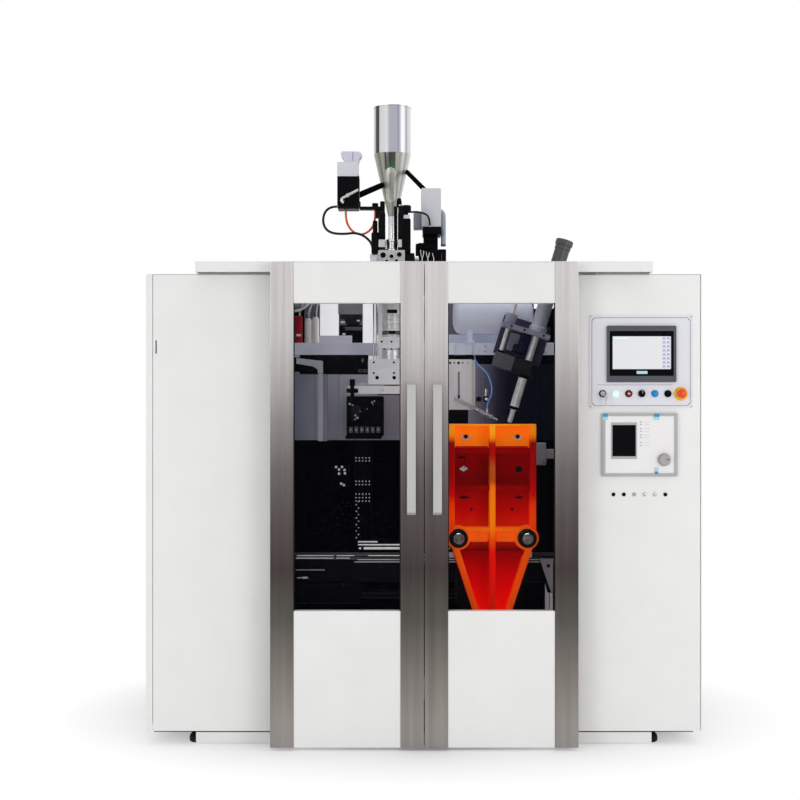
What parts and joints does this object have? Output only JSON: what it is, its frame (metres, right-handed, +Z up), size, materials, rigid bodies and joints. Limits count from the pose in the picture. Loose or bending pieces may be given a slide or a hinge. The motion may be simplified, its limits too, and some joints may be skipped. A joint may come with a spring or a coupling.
{
  "type": "blow moulding machine",
  "caption": "Enclosed shuttle blow moulding machine with sliding glazed doors, a hopper-fed extruder, a ribbed mould clamp, a leaning blow cylinder and an operator's control panel.",
  "frame": {"origin": "on the floor, under the middle of the machine's outline", "axes": "+X to the right seen from the front, -Y towards the operator (the doors' side), +Z up"},
  "size_m": [2.328, 1.985, 2.931],
  "materials": {
    "white_paint": "satin",
    "panel_grey": "satin",
    "frame_paint": "satin",
    "orange_paint": "semi-gloss",
    "stainless": "brushed",
    "machined_steel": "machined",
    "hard_chrome": "polished",
    "mould_alloy": "machined",
    "anodised_alloy": "matt",
    "black_oxide": "satin",
    "black_plastic": "matt",
    "dark_grey_plastic": "matt",
    "handle_plastic": "satin",
    "clear_pane": "clear",
    "screen_glass": "gloss",
    "red_plastic": "gloss",
    "green_plastic": "lit, translucent",
    "blue_plastic": "gloss",
    "machine_foot_rubber": "matt",
    "orange_hose_jacket": "gloss",
    "blue_hose_jacket": "gloss"
  },
  "bodies": {
    "frame": {"machine_frame": "frame_paint", "plinth_skirts": "white_paint", "levelling_feet": "machine_foot_rubber", "top_front_beam": "white_paint", "left_front_panel": "white_paint", "right_front_panel": "white_paint", "side_panels": "white_paint", "rear_panels": "white_paint", "roof_panels": "white_paint", "control_plate": "panel_grey", "display_screens": "screen_glass", "screen_bezel": "dark_grey_plastic", "programmer_case": "white_paint", "switch_collars": "black_plastic", "panel_plugs": "black_plastic", "platform_frame": "white_paint", "cable_trunk": "black_plastic", "extruder_barrel": "machined_steel", "extruder_drive": "black_oxide", "die_head": "machined_steel", "hopper": "stainless", "head_valves": "anodised_alloy", "parison_servo": "black_oxide", "air_unit": "panel_grey", "air_receiver": "white_paint", "carriage_rails": "machined_steel", "blow_mount": "machined_steel", "blow_cylinder": "anodised_alloy", "servo_hose": "black_plastic", "orange_hose": "orange_hose_jacket", "blue_hose": "blue_hose_jacket", "valve_hose": "black_plastic"},
    "screw": {"extruder_screw": "hard_chrome"},
    "cutter": {"hot_cutter": "machined_steel"},
    "carriage": {"carriage": "machined_steel"},
    "front_clamp": {"front_platen": "orange_paint", "tie_bars": "hard_chrome", "tie_bar_nuts": "black_oxide", "front_mould": "mould_alloy", "clamp_cylinder": "orange_paint"},
    "rear_clamp": {"rear_platen": "orange_paint", "rear_mould": "mould_alloy", "clamp_rod": "hard_chrome"},
    "blow": {"blow_pin_carrier": "machined_steel"},
    "left_door": {"left_door_panels": "white_paint", "left_door_window": "clear_pane", "left_door_stiles": "stainless", "left_door_handle": "handle_plastic"},
    "right_door": {"right_door_panels": "white_paint", "right_door_window": "clear_pane", "right_door_stiles": "stainless", "right_door_handle": "handle_plastic"},
    "key": {"key_switch": "machined_steel"},
    "start": {"start_button": "green_plastic"},
    "stop": {"stop_button": "red_plastic"},
    "selector": {"selector_knob": "black_plastic"},
    "reset": {"reset_button": "blue_plastic"},
    "lamp": {"lamp_button": "black_plastic"},
    "emergency": {"emergency_stop": "red_plastic"},
    "programmer_dial": {"programmer_knob": "dark_grey_plastic"}
  },
  "joints": [
    {"name": "screw_spin", "type": "hinge", "parent": "frame", "child": "screw", "pos_m": [-0.138, 0, 1.985], "axis": [0, 1, 0], "continuous": true},
    {"name": "cutter_swing", "type": "hinge", "parent": "frame", "child": "cutter", "pos_m": [-0.312, -0.46, 1.5], "axis": [0, 0, 1], "range_deg": [0, 50]},
    {"name": "carriage_travel", "type": "slide", "parent": "frame", "child": "carriage", "axis": [1, 0, 0], "range_m": [-0.435, 0]},
    {"name": "front_clamp_travel", "type": "slide", "parent": "carriage", "child": "front_clamp", "axis": [0, 1, 0], "range_m": [0, 0.1]},
    {"name": "rear_clamp_travel", "type": "slide", "parent": "carriage", "child": "rear_clamp", "axis": [0, -1, 0], "range_m": [0, 0.1]},
    {"name": "blow_stroke", "type": "slide", "parent": "frame", "child": "blow", "axis": [-0.2924, 0, -0.9563], "range_m": [0, 0.08]},
    {"name": "left_door_slide", "type": "slide", "parent": "frame", "child": "left_door", "axis": [-1, 0, 0], "range_m": [0, 0.45]},
    {"name": "right_door_slide", "type": "slide", "parent": "frame", "child": "right_door", "axis": [1, 0, 0], "range_m": [0, 0.45]},
    {"name": "key_turn", "type": "hinge", "parent": "frame", "child": "key", "pos_m": [0.748, -0.848, 1.472], "axis": [0, 1, 0], "range_deg": [0, 60]},
    {"name": "selector_turn", "type": "hinge", "parent": "frame", "child": "selector", "pos_m": [0.9118, -0.848, 1.472], "axis": [0, 1, 0], "range_deg": [-45, 45]},
    {"name": "dial_turn", "type": "hinge", "parent": "frame", "child": "programmer_dial", "pos_m": [1.004, -0.856, 1.196], "axis": [0, 1, 0], "range_deg": [-150, 150]},
    {"name": "start_press", "type": "slide", "parent": "frame", "child": "start", "axis": [0, 1, 0], "range_m": [0, 0.003], "stiffness_N_per_m": 400},
    {"name": "stop_press", "type": "slide", "parent": "frame", "child": "stop", "axis": [0, 1, 0], "range_m": [0, 0.003], "stiffness_N_per_m": 400},
    {"name": "reset_press", "type": "slide", "parent": "frame", "child": "reset", "axis": [0, 1, 0], "range_m": [0, 0.003], "stiffness_N_per_m": 400},
    {"name": "lamp_press", "type": "slide", "parent": "frame", "child": "lamp", "axis": [0, 1, 0], "range_m": [0, 0.003], "stiffness_N_per_m": 400},
    {"name": "emergency_press", "type": "slide", "parent": "frame", "child": "emergency", "axis": [0, 1, 0], "range_m": [0, 0.003], "stiffness_N_per_m": 600}
  ],
  "couplings": [
    {"joint": "rear_clamp_travel", "follows": "front_clamp_travel", "ratio": 1}
  ]
}
